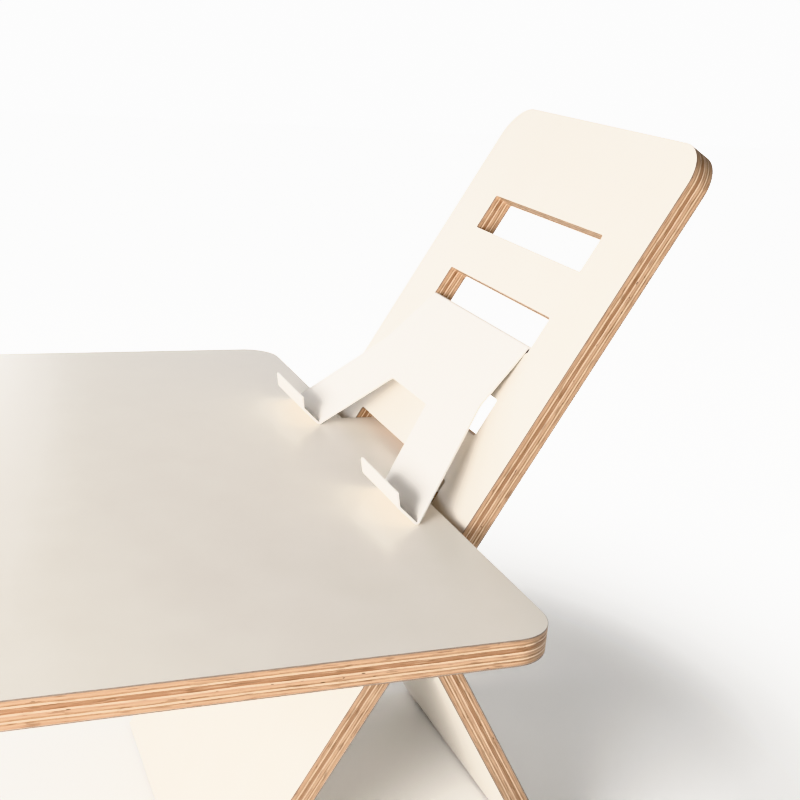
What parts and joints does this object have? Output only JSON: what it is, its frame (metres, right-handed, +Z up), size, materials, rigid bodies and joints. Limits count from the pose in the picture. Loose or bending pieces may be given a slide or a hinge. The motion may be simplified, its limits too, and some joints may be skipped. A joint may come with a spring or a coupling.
{
  "type": "plug-together desk stand with document rack",
  "caption": "Leaning plywood panel with a column of slots, a plug-in shelf, a plug-in rear prop and a bent sheet-steel rack that holds a tablet or papers above the shelf.",
  "frame": {"origin": "middle of the stand's box, on the table it stands on", "axes": "+X to the right of someone facing the stand, +Y to the back, +Z up"},
  "size_m": [0.64, 0.5438, 0.5926],
  "materials": {
    "plywood": "sanded birch plywood edge, clear oil",
    "laminate": "satin off-white laminate",
    "coated_steel": "white powder coat, satin",
    "rubber": "matt black rubber"
  },
  "bodies": {
    "panel": {"panel_core": "plywood", "panel_front_laminate": "laminate", "panel_rear_laminate": "laminate", "panel_foot_left": "rubber", "panel_foot_right": "rubber"},
    "shelf": {"shelf_core": "plywood", "shelf_top_laminate": "laminate", "shelf_bottom_laminate": "laminate"},
    "prop": {"prop_core": "plywood", "prop_front_laminate": "laminate", "prop_rear_laminate": "laminate", "prop_foot_left": "rubber", "prop_foot_right": "rubber"},
    "rack": {"rack_plate": "coated_steel"}
  },
  "joints": [
    {"name": "shelf_slide", "type": "slide", "parent": "panel", "child": "shelf", "axis": [0, -1, 0], "range_m": [0, 0.045]},
    {"name": "prop_slide", "type": "slide", "parent": "panel", "child": "prop", "axis": [0, 0.5, -0.866], "range_m": [0, 0.045]},
    {"name": "rack_lift", "type": "slide", "parent": "panel", "child": "rack", "axis": [0, 0.5, 0.866], "range_m": [0, 0.022]}
  ]
}
